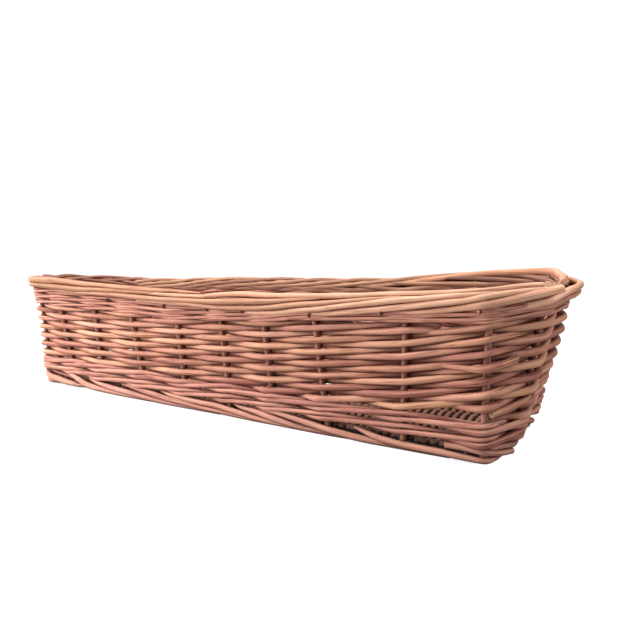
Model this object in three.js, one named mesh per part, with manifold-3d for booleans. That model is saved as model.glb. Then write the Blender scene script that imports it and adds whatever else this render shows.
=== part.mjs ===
import * as THREE from "three";
import { mergeVertices } from "three/addons/utils/BufferGeometryUtils.js";
import Module from "manifold-3d";

const wasm = await Module();
wasm.setup();

// Lengths in millimetres, +Z up, the long side along X and the near side at -Y.
const halfLength = 310;
const halfWidth = 67.6;
const bodyHeight = 140;
const endFlareDepth = 22;
const sideFlareDepth = 6.4;

const stakeRadius = 3;
const stakeFoot = 7;
const stakeTuck = 8;
const fitGap = 0.35;
const waleGap = 0.6;
const cornerTurn = 0.98;

const rowsInBody = 27;
const rodPitch = bodyHeight / rowsInBody;
const rodGap = 0.6;
const rodHeight = rodPitch - rodGap;
const rodWidth = 5.2;
const stakeSpan = 5;

const footTop = 14;
const borderDrop = 16.5;
const waleHalfDepth = 8.5;
const floorLow = 4.5;
const floorHigh = 13.6;
const floorInset = 7.2;
const floorStickRadius = 3.1;
const floorStickEnd = 14;

// Stake places round the rim as shares of half the length, from the left end by the near side.
const nearShares = [
  -0.876, -0.75, -0.553, -0.345, -0.121, 0.077, 0.254, 0.445, 0.718, 0.926,
];
const leanShares = [
  -0.078, -0.11, -0.051, -0.094, -0.045, -0.04, -0.044, -0.055, 0.015, 0.015,
];
const endShare = 0.34;
const floorStickShares = [-0.66, -0.33, 0, 0.33, 0.66];

// Heights at each of the 24 stakes as shares of the body height.
const rimShares = [
  0.929, 0.929, 0.926, 0.907, 0.888, 0.869, 0.864, 0.871, 0.897, 0.936, 0.966,
  0.983, 1, 1.007, 0.986, 0.957, 0.943, 0.932, 0.925, 0.92, 0.917, 0.914,
  0.916, 0.922,
];
const rowShares = [
  0.266, 0.276, 0.261, 0.255, 0.254, 0.271, 0.295, 0.309, 0.344, 0.409, 0.505,
  0.536, 0.557, 0.597, 0.645, 0.693, 0.741, 0.789, 0.837, 0.885, 0.933, 0.98,
  1.035, 1.094,
];
const topWaleShares = [
  0.079, 0.083, 0.086, 0.079, 0.071, 0.064, 0.057, 0.054, 0.043, 0.036, 0.032,
  0.032, 0.036, 0.04, 0.045, 0.05, 0.055, 0.06, 0.064, 0.068, 0.071, 0.074,
  0.077, 0.079,
];
const lowRowShare = 0.222;
const lowRowRiseShare = 0.014;
const highRowDropShare = 0.118;

const borderShares = [
  [-0.62, -0.1], [0.5, -0.5], [1.02, -0.3], [1.22, 0.1],
  [1.0, 0.42], [0.4, 0.5], [-0.3, 0.46], [-0.66, 0.2],
];
const borderWidth = 10;
const footShares = [
  [-0.62, 0], [0.72, 0], [1, 0.4], [0.86, 0.94],
  [0.3, 1], [-0.76, 1], [-0.8, 0.4],
];
const footWidth = 8;
const waleShares = [
  [-0.82, 0], [0.82, 0], [1, 0.3], [1, 0.7],
  [0.82, 1], [-0.82, 1], [-1, 0.7], [-1, 0.3],
];

const stakeCount = rimShares.length;
const rodCount = 24;
const circuitRise = rodCount * rodPitch;

const willow = {
  stake: ["#b5724b", 0.72],
  weaver: ["#c98d6c", 0.7],
  wale: ["#bd7f60", 0.72],
  border: ["#cf9a6a", 0.62],
  floor: ["#b87f5c", 0.78],
};

const wrap = (index) => ((index % stakeCount) + stakeCount) % stakeCount;

// Centre of a stake at a height, with the wall's outward lean.
function stakeAt(index, z) {
  const rise = z / bodyHeight - 0.5;
  const place = wrap(index);
  const half = stakeCount / 2;
  const rear = place >= half;
  const local = rear ? stakeCount - 1 - place : place;
  const side = rear ? 1 : -1;
  if (local === 0 || local === half - 1) {
    const end = local === 0 ? -1 : 1;
    const x = end * (halfLength + endFlareDepth * rise);
    return new THREE.Vector3(x, side * (halfWidth + sideFlareDepth * rise) * endShare, z);
  }
  const share = nearShares[local - 1] + leanShares[local - 1] * rise;
  return new THREE.Vector3(share * halfLength, side * (halfWidth + sideFlareDepth * rise), z);
}

// Horizontal direction along the wall at a stake.
function alongAt(index, z) {
  const along = stakeAt(index + 1, z).sub(stakeAt(index - 1, z));
  return along.setZ(0).normalize();
}

const outwardOf = (along) => new THREE.Vector3(along.y, -along.x, 0);

function wallPoint(index, z, outward, forward = 0) {
  const along = alongAt(index, z);
  return stakeAt(index, z)
    .addScaledVector(along, forward)
    .addScaledVector(outwardOf(along), outward);
}

// Height of the row that starts as number 0, carried on round the basket.
function rowHeight(index) {
  const turns = Math.floor(index / stakeCount);
  return rowShares[wrap(index)] * bodyHeight + turns * circuitRise;
}

const rimTop = (index) => rimShares[wrap(index)] * bodyHeight;
const borderLow = (index) => rimTop(index) - borderDrop;

function lowRow(index) {
  const span = Math.abs(stakeAt(index, 0).x) / halfLength;
  return (lowRowShare + lowRowRiseShare * span * span) * bodyHeight;
}

function highRow(index) {
  const wale = topWaleShares[wrap(index)] * bodyHeight;
  return rimTop(index) - highRowDropShare * bodyHeight - wale - rodPitch / 2;
}

const centreOf = (index, rod) => rowHeight(index) - rod * rodPitch;

// The lowest and highest rods at a stake, kept so that no rod leaves the wall and returns.
function lowestRod(index) {
  let rod = Infinity;
  for (let i = index; i <= index + stakeCount; i++) {
    rod = Math.min(rod, Math.floor((rowHeight(i) - lowRow(i)) / rodPitch));
  }
  return rod;
}

function highestRod(index) {
  let rod = -Infinity;
  for (let i = index - stakeCount; i <= index; i++) {
    rod = Math.max(rod, Math.ceil((rowHeight(i) - highRow(i)) / rodPitch));
  }
  return rod;
}

const lowestCentre = (index) => centreOf(index, lowestRod(index));
const highestCentre = (index) => centreOf(index, highestRod(index));

const lowWaleTop = (index) => lowestCentre(index) - rodHeight / 2 - waleGap;
const highWaleLow = (index) => highestCentre(index) + rodHeight / 2 + waleGap;

function solid(positions, triangles) {
  const geometry = new THREE.BufferGeometry();
  geometry.setAttribute("position", new THREE.Float32BufferAttribute(positions, 3));
  geometry.setIndex(triangles);
  return geometry;
}

// Joins rings of points into a skin, closed end to end or capped.
function skin(rings, closed) {
  const sides = rings[0].length;
  const positions = rings.flat().flatMap((point) => point.toArray());
  const triangles = [];
  const last = closed ? rings.length : rings.length - 1;
  for (let r = 0; r < last; r++) {
    const here = r * sides;
    const next = ((r + 1) % rings.length) * sides;
    for (let s = 0; s < sides; s++) {
      const t = (s + 1) % sides;
      triangles.push(here + s, next + s, next + t);
      triangles.push(here + s, next + t, here + t);
    }
  }
  if (!closed) {
    const end = (rings.length - 1) * sides;
    for (let s = 1; s < sides - 1; s++) {
      triangles.push(0, s, s + 1);
      triangles.push(end, end + s + 1, end + s);
    }
  }
  return solid(positions, triangles);
}

function manifoldOf(geometry) {
  const plain = geometry.clone();
  plain.deleteAttribute("normal");
  plain.deleteAttribute("uv");
  const merged = mergeVertices(plain);
  return new wasm.Manifold(
    new wasm.Mesh({
      numProp: 3,
      vertProperties: merged.attributes.position.array,
      triVerts: new Uint32Array(merged.index.array),
    }),
  );
}

function geometryOf(made) {
  const mesh = made.getMesh();
  return solid(Array.from(mesh.vertProperties), Array.from(mesh.triVerts));
}

function cut(geometry, tools) {
  let left = manifoldOf(geometry);
  for (const tool of tools) {
    left = left.subtract(manifoldOf(tool));
  }
  return geometryOf(left);
}

// A straight round stick between two points.
function stick(from, to, radius, sides) {
  const rod = new THREE.CylinderGeometry(radius, radius, from.distanceTo(to), sides);
  const direction = to.clone().sub(from).normalize();
  const turn = new THREE.Quaternion().setFromUnitVectors(
    new THREE.Vector3(0, 1, 0),
    direction,
  );
  rod.applyQuaternion(turn);
  const middle = from.clone().add(to).multiplyScalar(0.5);
  return rod.translate(middle.x, middle.y, middle.z);
}

const stakeTop = (index) => borderLow(index) + stakeTuck;

function stakeSolid(index) {
  const from = stakeAt(index, stakeFoot);
  return stick(from, stakeAt(index, stakeTop(index)), stakeRadius, 8);
}

// Clearance holes for every stake, between two heights.
function stakeHoles(lowOf, highOf) {
  const holes = [];
  for (let i = 0; i < stakeCount; i++) {
    const from = stakeAt(i, lowOf(i));
    holes.push(stick(from, stakeAt(i, highOf(i)), stakeRadius + fitGap, 10));
  }
  return holes;
}

// A closed ring that follows the wall, its section given as shares of width and height.
function wallRing(shares, width, lowOf, highOf) {
  const rings = [];
  for (let i = 0; i < stakeCount; i++) {
    for (const forward of [-stakeSpan, stakeSpan]) {
      const low = lowOf(i);
      const tall = highOf(i) - low;
      const ring = shares.map(([out, up]) => {
        const z = low + tall * up;
        return wallPoint(i, z, out * width, forward);
      });
      rings.push(ring);
    }
  }
  return skin(rings, true);
}

// One woven rod: behind one stake and in front of the next while it climbs.
function rodSolid(rod) {
  const stations = [];
  for (let i = -stakeCount; i < 3 * stakeCount; i++) {
    if (highestRod(i) <= rod && rod <= lowestRod(i)) stations.push(i);
  }
  const offset = stakeRadius + fitGap + rodWidth / 2;
  const path = [];
  for (const i of stations) {
    const side = (i + rod + stakeCount) % 2 === 0 ? -1 : 1;
    const z = centreOf(i, rod);
    path.push(wallPoint(i, z, side * offset, -stakeSpan));
    path.push(wallPoint(i, z, side * offset, stakeSpan));
    if (i !== stations[stations.length - 1] && turnsAfter(i)) {
      path.push(crossingAfter(i, rod));
    }
  }
  return sweep(path, rodWidth, rodHeight);
}

// True where the wall turns a corner between a stake and the next.
const turnsAfter = (index) => alongAt(index, 0).dot(alongAt(index + 1, 0)) < cornerTurn;

// Where neighbouring rods cross on the way to the next stake.
function crossingAfter(index, rod) {
  const here = stakeAt(index, centreOf(index, rod));
  const next = stakeAt(index + 1, centreOf(index + 1, rod));
  return here.add(next).multiplyScalar(0.5);
}

// Sweeps an upright six-sided section along a path.
function sweep(path, width, height) {
  const rings = path.map((point, k) => {
    const before = path[Math.max(k - 1, 0)];
    const after = path[Math.min(k + 1, path.length - 1)];
    const along = after.clone().sub(before).setZ(0).normalize();
    const outward = outwardOf(along);
    const ring = [];
    for (let s = 0; s < 6; s++) {
      const turn = Math.PI / 6 + (s * Math.PI) / 3;
      const corner = point.clone().addScaledVector(outward, (Math.cos(turn) * width) / 2);
      corner.z += (Math.sin(turn) * height) / 2;
      ring.push(corner);
    }
    return ring;
  });
  return skin(rings, false);
}

// The flat floor, with a tunnel for each long stick.
function floorSolid() {
  const outline = new THREE.Shape();
  for (let i = 0; i < stakeCount; i++) {
    const corner = wallPoint(i, 0, -floorInset);
    if (i === 0) outline.moveTo(corner.x, corner.y);
    else outline.lineTo(corner.x, corner.y);
  }
  outline.closePath();
  const slab = new THREE.ExtrudeGeometry(outline, {
    depth: floorHigh - floorLow,
    bevelEnabled: false,
  }).translate(0, 0, floorLow);
  const tunnels = floorStickShares.map((share) => {
    const [from, to] = floorStickEnds(share, halfLength);
    return stick(from, to, floorStickRadius + fitGap, 10);
  });
  return cut(slab, tunnels);
}

function floorStickEnds(share, reach) {
  const y = share * halfWidth;
  const z = (floorLow + floorHigh) / 2;
  return [new THREE.Vector3(-reach, y, z), new THREE.Vector3(reach, y, z)];
}

function floorStickSolid(share) {
  const shy = floorStickEnd + Math.max(0, Math.abs(share) - endShare) * halfWidth;
  const [from, to] = floorStickEnds(share, halfLength - endFlareDepth / 2 - shy);
  return stick(from, to, floorStickRadius, 8);
}

function materialOf(slot) {
  const [color, roughness] = willow[slot];
  return new THREE.MeshStandardMaterial({ color, roughness, metalness: 0 });
}

const basket = new THREE.Group();
basket.name = "baguette_basket";

function add(name, geometry, slot) {
  const mesh = new THREE.Mesh(geometry, materialOf(slot));
  mesh.name = name;
  basket.add(mesh);
}

const numbered = (name, index) => `${name}_${String(index + 1).padStart(2, "0")}`;

for (let i = 0; i < stakeCount; i++) {
  add(numbered("side_stake", i), stakeSolid(i), "stake");
}
for (let r = 0; r < rodCount; r++) {
  add(numbered("rand_rod", r), rodSolid(r), "weaver");
}

const footLow = () => 0;
const footHigh = () => footTop;
const lowWaleLow = () => footTop + fitGap;
const highWaleTop = (index) => borderLow(index) - fitGap;
const borderMiddle = (index) => rimTop(index) - borderDrop / 2;
const borderHigh = (index) => rimTop(index) + borderDrop / 2;
const belowWale = () => 0;
const aboveRim = () => 2 * bodyHeight;
const socketFloor = () => stakeFoot - fitGap;
const socketRoof = (index) => stakeTop(index) + fitGap;

const footRing = wallRing(footShares, footWidth, footLow, footHigh);
add("foot_border", cut(footRing, stakeHoles(socketFloor, aboveRim)), "border");

const lowWale = wallRing(waleShares, waleHalfDepth, lowWaleLow, lowWaleTop);
add("bottom_wale", cut(lowWale, stakeHoles(belowWale, aboveRim)), "wale");

const highWale = wallRing(waleShares, waleHalfDepth, highWaleLow, highWaleTop);
add("top_wale", cut(highWale, stakeHoles(belowWale, aboveRim)), "wale");

const borderRing = wallRing(borderShares, borderWidth, borderMiddle, borderHigh);
add("rolled_border", cut(borderRing, stakeHoles(belowWale, socketRoof)), "border");

add("floor_weave", floorSolid(), "floor");
floorStickShares.forEach((share, index) => {
  add(numbered("floor_stick", index), floorStickSolid(share), "floor");
});

const box = new THREE.Box3().setFromObject(basket, true);
const middle = box.getCenter(new THREE.Vector3());
basket.position.set(-middle.x, -middle.y, -box.min.z);

export default basket;
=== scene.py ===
import math

import bpy
import numpy as np
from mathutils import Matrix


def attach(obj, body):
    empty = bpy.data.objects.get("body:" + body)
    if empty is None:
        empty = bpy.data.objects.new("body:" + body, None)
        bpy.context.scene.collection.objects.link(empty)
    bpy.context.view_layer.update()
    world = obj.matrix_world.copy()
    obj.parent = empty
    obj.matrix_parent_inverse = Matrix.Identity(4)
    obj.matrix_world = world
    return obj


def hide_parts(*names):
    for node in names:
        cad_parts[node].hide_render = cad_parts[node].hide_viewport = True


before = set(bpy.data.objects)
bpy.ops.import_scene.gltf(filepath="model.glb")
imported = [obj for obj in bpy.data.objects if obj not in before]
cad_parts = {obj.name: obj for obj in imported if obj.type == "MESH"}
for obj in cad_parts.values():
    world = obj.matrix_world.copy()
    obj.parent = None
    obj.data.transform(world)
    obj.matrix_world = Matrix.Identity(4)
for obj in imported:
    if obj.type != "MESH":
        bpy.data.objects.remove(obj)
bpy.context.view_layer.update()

scene = bpy.context.scene
scene.view_settings.view_transform = "Standard"
mm = 0.001

# the wall: stakes counted from the left end along the near side, lengths in mm
wall = {
    "halfLength": 310,
    "halfWidth": 67.6,
    "bodyHeight": 140,
    "endFlare": 22,
    "sideFlare": 6.4,
    "endShare": 0.34,
    "shift": (-0.763, -0.132),
    "skew": {0: 4, 1: 9, 11: 5, 12: 26, 13: 12},
    "skewTop": 110,
    "near": [-0.876, -0.75, -0.553, -0.345, -0.121, 0.077, 0.254, 0.445, 0.718, 0.94],
    "lean": [-0.078, -0.11, -0.051, -0.094, -0.045, -0.04, -0.044, -0.055, 0.015, 0.015],
    "rim": [
        0.929, 0.929, 0.926, 0.907, 0.888, 0.869, 0.864, 0.871, 0.897, 0.936, 0.966, 0.983,
        1.005, 1.027, 1.012, 0.951, 0.938, 0.93, 0.925, 0.912, 0.889, 0.881, 0.886, 0.91,
    ],
    "row": [
        0.266, 0.276, 0.261, 0.255, 0.254, 0.271, 0.295, 0.309, 0.344, 0.409, 0.505, 0.536,
        0.587, 0.622, 0.66, 0.7, 0.741, 0.789, 0.837, 0.885, 0.933, 0.98, 1.035, 1.094,
    ],
    "topWale": [
        0.079, 0.083, 0.086, 0.079, 0.071, 0.064, 0.057, 0.054, 0.043, 0.036, 0.032, 0.032,
        0.036, 0.04, 0.045, 0.05, 0.055, 0.06, 0.064, 0.068, 0.071, 0.074, 0.077, 0.079,
    ],
    "lowRow": 0.222,
    "lowRowRise": 0.014,
    "lowRowCorner": 0.076,
    "cornerStake": 10,
    "rodPitch": 140 / 27,
    "borderDrop": 16.5,
}
stakeCount = len(wall["rim"])
rodCount = 24


def stakeAt(index, z):
    rise = z / wall["bodyHeight"] - 0.5
    place = index % stakeCount
    rear = place >= stakeCount // 2
    local = stakeCount - 1 - place if rear else place
    side = 1 if rear else -1
    y = side * (wall["halfWidth"] + wall["sideFlare"] * rise)
    skew = wall["skew"].get(place, 0) * max(0, 1 - z / wall["skewTop"]) ** 2
    if local in (0, stakeCount // 2 - 1):
        end = -1 if local == 0 else 1
        x = end * (wall["halfLength"] + wall["endFlare"] * rise)
        return np.array([x - skew, y * wall["endShare"], z])
    share = wall["near"][local - 1] + wall["lean"][local - 1] * rise
    return np.array([share * wall["halfLength"] - skew, y, z])


def alongAt(index, z):
    along = stakeAt(index + 1, z) - stakeAt(index - 1, z)
    along[2] = 0
    return along / np.linalg.norm(along)


def wallPoint(place, z, out=0.0, forward=0.0):
    low = math.floor(place)
    share = place - low
    base = stakeAt(low, z) * (1 - share) + stakeAt(low + 1, z) * share
    along = alongAt(low, z) * (1 - share) + alongAt(low + 1, z) * share
    along /= np.linalg.norm(along)
    outward = np.array([along[1], -along[0], 0])
    return base + outward * out + along * forward


def tableAt(name, place):
    table = wall[name]
    low = math.floor(place)
    share = place - low
    share = share * share * (3 - 2 * share)
    a, b = table[low % stakeCount], table[(low + 1) % stakeCount]
    return (a * (1 - share) + b * share) * wall["bodyHeight"]


def rimTop(place):
    return tableAt("rim", place)


def borderLow(place):
    return rimTop(place) - wall["borderDrop"]


def rowHeight(index):
    turns = math.floor(index / stakeCount)
    return wall["row"][index % stakeCount] * wall["bodyHeight"] + turns * rodCount * wall["rodPitch"]


def lowRow(index):
    span = abs(stakeAt(index, 0)[0]) / wall["halfLength"]
    corner = wall["lowRowCorner"] if index % stakeCount == wall["cornerStake"] else 0
    return (wall["lowRow"] + wall["lowRowRise"] * span * span + corner) * wall["bodyHeight"]


def highRow(index):
    return borderLow(index) - tableAt("topWale", index) - wall["rodPitch"] / 2


def lowestRod(index):
    return min(
        math.floor((rowHeight(i) - lowRow(i)) / wall["rodPitch"])
        for i in range(index, index + stakeCount + 1)
    )


def highestRod(index):
    return max(
        math.ceil((rowHeight(i) - highRow(i)) / wall["rodPitch"])
        for i in range(index - stakeCount, index + 1)
    )


# paths of rods
def smoothPath(keys, step=2.5):
    keys = np.array(keys, float)
    gaps = np.linalg.norm(np.diff(keys, axis=0), axis=1)
    knots = np.concatenate([[0], np.cumsum(gaps**0.5)])
    slopes = np.diff(keys, axis=0) / np.diff(knots)[:, None]
    tangents = np.empty_like(keys)
    tangents[0], tangents[-1] = slopes[0], slopes[-1]
    widths = np.diff(knots)
    tangents[1:-1] = (
        slopes[:-1] * widths[1:, None] + slopes[1:] * widths[:-1, None]
    ) / (widths[:-1] + widths[1:])[:, None]
    points = []
    for k, gap in enumerate(gaps):
        count = max(1, math.ceil(gap / step))
        h = widths[k]
        for u in np.arange(count) / count:
            a = (1 + 2 * u) * (1 - u) ** 2
            b = u * (1 - u) ** 2
            c = u * u * (3 - 2 * u)
            d = u * u * (u - 1)
            points.append(keys[k] * a + tangents[k] * b * h + keys[k + 1] * c + tangents[k + 1] * d * h)
    points.append(keys[-1])
    return np.array(points)


def lengths(points):
    steps = np.linalg.norm(np.diff(np.array(points), axis=0), axis=1)
    return np.concatenate([[0], np.cumsum(steps)])


def rodGuide(keys, butt, tip, tone, step=2.5, hue=0.5):
    points = smoothPath(keys, step)
    along = lengths(points)
    radius = butt + (tip - butt) * along / along[-1]
    return {"points": points, "radius": radius, "along": along, "tone": tone, "hue": hue}


def runGuide(keys, radii, tone, step=2.5, hue=0.5):
    points = smoothPath(keys, step)
    along = lengths(points)
    spots = lengths(keys)
    radius = np.interp(along / along[-1], spots / spots[-1], radii)
    hues = np.interp(along / along[-1], spots / spots[-1], np.broadcast_to(hue, len(keys)))
    return {"points": points, "radius": radius, "along": along, "tone": tone, "hue": hues}


# nodes: each is made with its inputs set or linked
def setInputs(tree, node, inputs):
    for socket, value in inputs.items():
        if isinstance(value, bpy.types.NodeSocket):
            tree.links.new(value, node.inputs[socket])
        else:
            node.inputs[socket].default_value = value


def addNode(tree, kind, inputs=None, **settings):
    node = tree.nodes.new(kind)
    for key, value in settings.items():
        setattr(node, key, value)
    setInputs(tree, node, inputs or {})
    return node


def maths(tree, operation, a, b, clamp=False):
    return addNode(tree, "ShaderNodeMath", {0: a, 1: b}, operation=operation, use_clamp=clamp).outputs[0]


def vectors(tree, operation, *values):
    return addNode(tree, "ShaderNodeVectorMath", dict(enumerate(values)), operation=operation).outputs


def mixed(tree, kind, factor, a, b):
    inputs = {0: factor, 6: a, 7: b}
    return addNode(tree, "ShaderNodeMix", inputs, data_type="RGBA", blend_type=kind).outputs[2]


def ranged(tree, value, spanFrom, spanTo=(0.0, 1.0), **settings):
    inputs = {"Value": value}
    for name, span in (("From", spanFrom), ("To", spanTo)):
        inputs[name + " Min"], inputs[name + " Max"] = span
    return addNode(tree, "ShaderNodeMapRange", inputs, **settings).outputs["Result"]


def addSockets(tree, side, sockets):
    for label, (kind, *default) in sockets.items():
        socket = tree.interface.new_socket(label, in_out=side, socket_type="NodeSocket" + kind)
        if default:
            socket.default_value = default[0]


# the tree that turns guide lines into willow rods
rodSkin = {
    "Sides": 10, "Wobble": 0.0008, "Wobble Scale": 22.0, "Lump": 0.12, "Lump Scale": 45.0, "Seed": 3.0,
    "seedPerTone": 37.0, "alongPerTone": 3.0, "wanderDetail": 1.0, "lumpDetail": 2.0,
}


def willowSkinTree():
    tree = bpy.data.node_groups.new("willowSkin", "GeometryNodeTree")
    labels = ("Wobble", "Wobble Scale", "Lump", "Lump Scale", "Seed")
    floats = {label: ("Float", rodSkin[label]) for label in labels}
    whole = {"Guides": ("Geometry",), "Sides": ("Int", rodSkin["Sides"])}
    addSockets(tree, "INPUT", {**whole, **floats, "Finish": ("Material",)})
    addSockets(tree, "OUTPUT", {"Rods": ("Geometry",)})

    def named(label, kind="FLOAT"):
        return addNode(tree, "GeometryNodeInputNamedAttribute", {"Name": label}, data_type=kind).outputs[0]

    def stored(mesh, label, value, kind, domain):
        inputs = {"Geometry": mesh, "Name": label, "Value": value}
        node = addNode(tree, "GeometryNodeStoreNamedAttribute", inputs, data_type=kind, domain=domain)
        return node.outputs[0]

    def noise(scale, detail):
        inputs = {"Vector": where, "W": seed, "Scale": scale, "Detail": detail}
        return addNode(tree, "ShaderNodeTexNoise", inputs, noise_dimensions="4D").outputs

    start = addNode(tree, "NodeGroupInput").outputs
    where = addNode(tree, "GeometryNodeInputPosition").outputs[0]
    tone, thick = named("rodTone"), named("rodRadius")
    seed = maths(tree, "ADD", maths(tree, "MULTIPLY", tone, rodSkin["seedPerTone"]), start["Seed"])

    # slow wander of each rod off its line
    wander = noise(start["Wobble Scale"], rodSkin["wanderDetail"])["Color"]
    centred = vectors(tree, "SUBTRACT", wander, (0.5, 0.5, 0.5))["Vector"]
    inputs = {0: centred, "Scale": start["Wobble"]}
    sized = addNode(tree, "ShaderNodeVectorMath", inputs, operation="SCALE").outputs["Vector"]
    moved = addNode(tree, "GeometryNodeSetPosition", {"Geometry": start["Guides"], "Offset": sized})
    line = addNode(tree, "GeometryNodeMeshToCurve", {0: moved.outputs[0]}).outputs[0]

    # swellings along the rod
    lump = noise(start["Lump Scale"], rodSkin["lumpDetail"])[0]
    swell = maths(tree, "MULTIPLY", maths(tree, "SUBTRACT", lump, 0.5), start["Lump"])
    radius = maths(tree, "MULTIPLY", thick, maths(tree, "ADD", swell, 1.0))
    inputs = {"Resolution": start["Sides"], "Radius": 1.0}
    ring = addNode(tree, "GeometryNodeCurvePrimitiveCircle", inputs, mode="RADIUS").outputs["Curve"]
    profile = stored(ring, "rodSide", where, "FLOAT_VECTOR", "POINT")
    inputs = {"Curve": line, "Profile Curve": profile, "Scale": radius, "Fill Caps": True}
    skin = addNode(tree, "GeometryNodeCurveToMesh", inputs).outputs[0]

    # place on the rod: along it, then across its section
    across = addNode(tree, "ShaderNodeSeparateXYZ", {0: named("rodSide", "FLOAT_VECTOR")}).outputs
    axes = {
        0: maths(tree, "ADD", named("rodAlong"), maths(tree, "MULTIPLY", tone, rodSkin["alongPerTone"])),
        1: maths(tree, "MULTIPLY", across[0], thick),
        2: maths(tree, "MULTIPLY", across[1], thick),
    }
    space = addNode(tree, "ShaderNodeCombineXYZ", axes).outputs[0]
    placed = stored(skin, "rodSpace", space, "FLOAT_VECTOR", "POINT")

    # cut ends are the faces with more than four corners
    corners = addNode(tree, "GeometryNodeInputMeshFaceNeighbors").outputs["Vertex Count"]
    inputs = {2: corners, 3: 4}
    isEnd = addNode(tree, "FunctionNodeCompare", inputs, data_type="INT", operation="GREATER_THAN").outputs[0]
    cut = stored(placed, "rodCut", isEnd, "FLOAT", "FACE")
    notEnd = addNode(tree, "FunctionNodeBooleanMath", {0: isEnd}, operation="NOT").outputs[0]
    inputs = {"Geometry": cut, "Shade Smooth": notEnd}
    smooth = addNode(tree, "GeometryNodeSetShadeSmooth", inputs, domain="FACE")
    solid = addNode(tree, "GeometryNodeRealizeInstances", {0: smooth.outputs[0]})
    inputs = {"Geometry": solid.outputs[0], "Material": start["Finish"]}
    finish = addNode(tree, "GeometryNodeSetMaterial", inputs)
    addNode(tree, "NodeGroupOutput", {"Rods": finish.outputs[0]})
    return tree


skinTree = willowSkinTree()


def setModifier(modifier, values):
    for item in modifier.node_group.interface.items_tree:
        if item.item_type == "SOCKET" and item.in_out == "INPUT" and item.name in values:
            modifier[item.identifier] = values[item.name]


def guideMesh(name, guides):
    points = np.concatenate([g["points"] for g in guides])
    points[:, :2] += wall["shift"]
    edges = []
    first = 0
    for g in guides:
        count = len(g["points"])
        edges += [(first + k, first + k + 1) for k in range(count - 1)]
        first += count
    mesh = bpy.data.meshes.new(name)
    mesh.from_pydata((points * mm).tolist(), edges, [])
    columns = {
        "rodRadius": np.concatenate([g["radius"] * mm for g in guides]),
        "rodAlong": np.concatenate([g["along"] * mm for g in guides]),
        "rodTone": np.concatenate([np.full(len(g["points"]), g["tone"]) for g in guides]),
        "rodHue": np.concatenate([np.broadcast_to(g["hue"], len(g["points"])) for g in guides]),
    }
    for label, values in columns.items():
        attribute = mesh.attributes.new(label, "FLOAT", "POINT")
        attribute.data.foreach_set("value", values.astype(np.float32))
    return mesh


def makeRods(name, guides, look, material, slotName, *stoodFor):
    guide = bpy.data.objects.new(name + "Guide", guideMesh(name + "Guide", guides))
    scene.collection.objects.link(guide)
    modifier = guide.modifiers.new("skin", "NODES")
    modifier.node_group = skinTree
    setModifier(modifier, {**look, "Finish": material})
    bpy.context.view_layer.update()
    dressed = guide.evaluated_get(bpy.context.evaluated_depsgraph_get())
    mesh = bpy.data.meshes.new_from_object(dressed)
    mesh.name = name
    bpy.data.objects.remove(guide)
    rods = bpy.data.objects.new(name, mesh)
    scene.collection.objects.link(rods)
    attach(rods, "root")
    if stoodFor:
        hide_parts(*stoodFor)


# willow: one shader group, seven finishes
grainLook = {
    "streak": ((14, 520, 520), 1.0), "fibre": ((60, 2400, 2400), 0.0), "blotch": ((34, 90, 90), 4.0),
    "scar": (30, 210, 210), "scarFall": 5.5, "scarShare": 0.8,
    "scratch": ((30, 620, 620), 0.0), "scratchFrom": 0.62, "scratchGain": 8.0, "scratchShare": 0.7,
    "goldenShare": 0.9, "speckColor": (0.42, 0.27, 0.2, 1),
    "cutBrown": (0.1, 0.05, 0.038, 1), "cutPale": (0.68, 0.4, 0.27, 1), "cutShare": 0.9,
    "roughSpread": 0.25, "streakHeight": 0.6, "fibreHeight": 0.35,
}


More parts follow.
